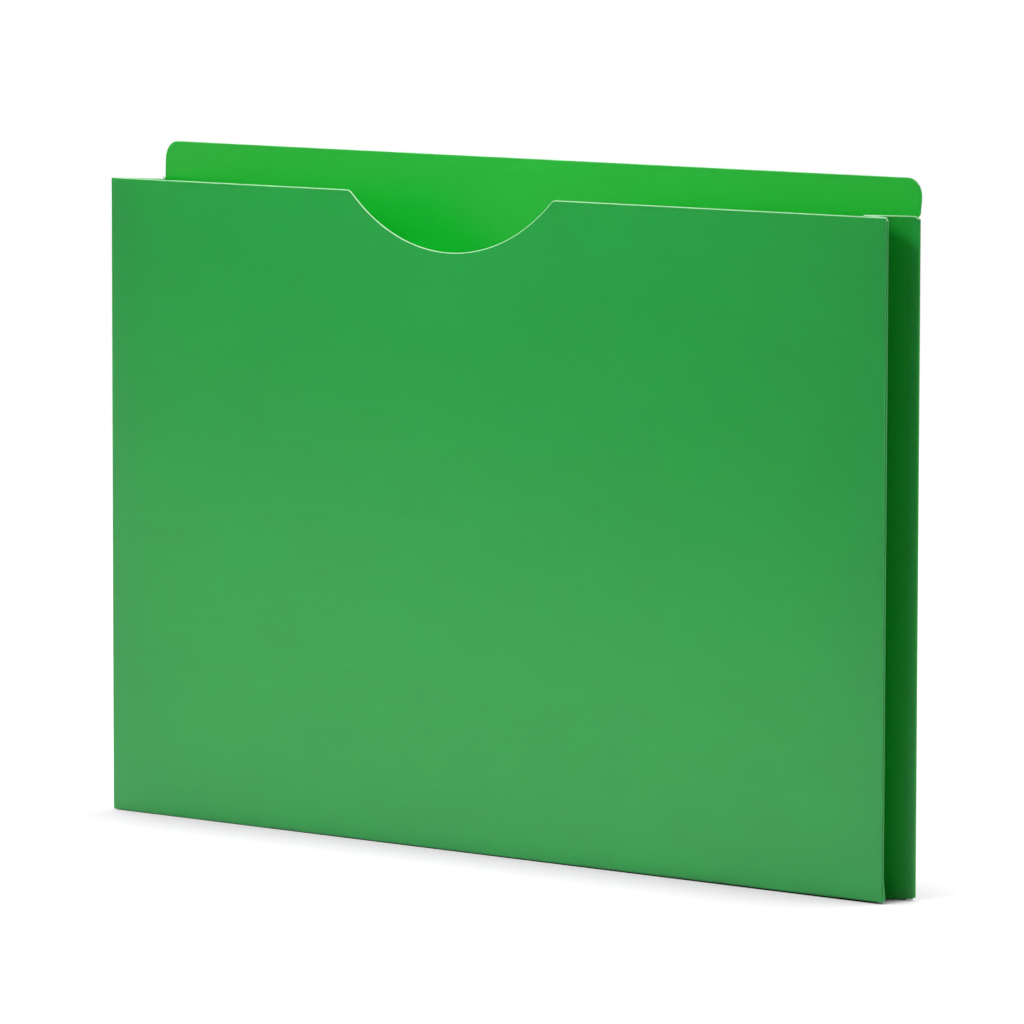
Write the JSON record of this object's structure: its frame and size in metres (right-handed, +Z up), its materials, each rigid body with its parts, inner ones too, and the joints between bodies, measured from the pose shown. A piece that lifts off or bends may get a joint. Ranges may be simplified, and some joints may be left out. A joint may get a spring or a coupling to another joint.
{
  "type": "file jacket",
  "caption": "Upright plastic file jacket: a pocket with a thumb cut in its front, a taller back with a full-width tab, and side and bottom gussets that fold flat.",
  "frame": {"origin": "on the floor, at the middle of the jacket's width and depth at rest", "axes": "+X along the width, +Y from the front panel to the back panel, +Z up"},
  "size_m": [0.3746, 0.017, 0.2413],
  "materials": {
    "sheet": "green polypropylene sheet, satin",
    "fold": "creased polypropylene, satin"
  },
  "bodies": {
    "back": {"back_panel": "sheet", "right_rear_fold": "fold", "left_rear_fold": "fold", "bottom_rear_fold": "fold", "bottom_weld_flap": "sheet"},
    "right_rear_leaf": {"right_rear_leaf": "sheet", "right_centre_fold": "fold"},
    "right_front_leaf": {"right_front_leaf": "sheet"},
    "front": {"front_panel": "sheet", "right_weld_flap": "sheet", "left_weld_flap": "sheet", "right_front_fold": "fold", "left_front_fold": "fold", "bottom_front_fold": "fold"},
    "left_rear_leaf": {"left_rear_leaf": "sheet", "left_centre_fold": "fold"},
    "left_front_leaf": {"left_front_leaf": "sheet"},
    "bottom_front_leaf": {"bottom_front_leaf": "sheet", "bottom_centre_fold": "fold"},
    "bottom_rear_leaf": {"bottom_rear_leaf": "sheet"}
  },
  "joints": [
    {"name": "bottom_rear_hinge", "type": "hinge", "parent": "back", "child": "bottom_rear_leaf", "pos_m": [0, 0.0075, 0.0005], "axis": [1, 0, 0], "range_deg": [-21.5, 57.5]},
    {"name": "bottom_centre_hinge", "type": "hinge", "parent": "bottom_rear_leaf", "child": "bottom_front_leaf", "pos_m": [0, -0.00025, 0.01791], "axis": [1, 0, 0], "range_deg": [-115, 43]},
    {"name": "bottom_front_hinge", "type": "hinge", "parent": "bottom_front_leaf", "child": "front", "pos_m": [0, -0.008, 0.0005], "axis": [1, 0, 0], "range_deg": [-21.5, 57.5]},
    {"name": "right_rear_hinge", "type": "hinge", "parent": "back", "child": "right_rear_leaf", "pos_m": [0.18682, 0.008, 0.1145], "axis": [0, 0, 1], "range_deg": [-21.5, 57.5]},
    {"name": "right_front_hinge", "type": "hinge", "parent": "front", "child": "right_front_leaf", "pos_m": [0.18682, -0.0075, 0.1145], "axis": [0, 0, 1], "range_deg": [-57.5, 21.5]},
    {"name": "left_rear_hinge", "type": "hinge", "parent": "back", "child": "left_rear_leaf", "pos_m": [-0.18682, 0.008, 0.1145], "axis": [0, 0, 1], "range_deg": [-57.5, 21.5]},
    {"name": "left_front_hinge", "type": "hinge", "parent": "front", "child": "left_front_leaf", "pos_m": [-0.18682, -0.0075, 0.1145], "axis": [0, 0, 1], "range_deg": [-21.5, 57.5]}
  ],
  "couplings": [
    {"joint": "bottom_centre_hinge", "follows": "bottom_rear_hinge", "ratio": -2},
    {"joint": "bottom_front_hinge", "follows": "bottom_rear_hinge", "ratio": 1},
    {"joint": "right_rear_hinge", "follows": "bottom_rear_hinge", "ratio": 1},
    {"joint": "right_front_hinge", "follows": "bottom_rear_hinge", "ratio": -1},
    {"joint": "left_rear_hinge", "follows": "bottom_rear_hinge", "ratio": -1},
    {"joint": "left_front_hinge", "follows": "bottom_rear_hinge", "ratio": 1}
  ]
}
